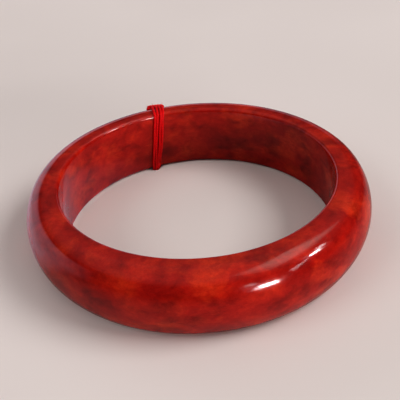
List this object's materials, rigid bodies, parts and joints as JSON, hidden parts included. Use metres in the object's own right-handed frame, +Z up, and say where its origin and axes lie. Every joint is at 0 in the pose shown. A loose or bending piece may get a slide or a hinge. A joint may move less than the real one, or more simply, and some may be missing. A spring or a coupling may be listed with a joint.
{
  "type": "bangle bracelet",
  "caption": "Closed round bangle of solid polished red stone with a domed outside face, and a short red thread wound and knotted round its section.",
  "frame": {"origin": "centre of the stone ring, on its axis at mid height", "axes": "+Z along the ring's axis, the way a hand passes through; the thread is tied at +Y, and the ring lies flat on a surface with Z upwards"},
  "size_m": [0.0732, 0.0739, 0.016],
  "materials": {
    "stone": "polished, glossy",
    "thread": "twisted thread, matt"
  },
  "bodies": {
    "ring": {"stone_ring": "stone"},
    "thread": {"thread_turn_1": "thread", "thread_turn_2": "thread", "thread_turn_3": "thread", "thread_turn_4": "thread", "knot_wrap_upper": "thread", "knot_wrap_lower": "thread", "thread_end_left": "thread", "thread_end_right": "thread"}
  },
  "joints": [
    {"name": "thread_slide_round", "type": "hinge", "parent": "ring", "child": "thread", "pos_m": [0, 0, 0], "axis": [0, 0, 1], "continuous": true}
  ]
}
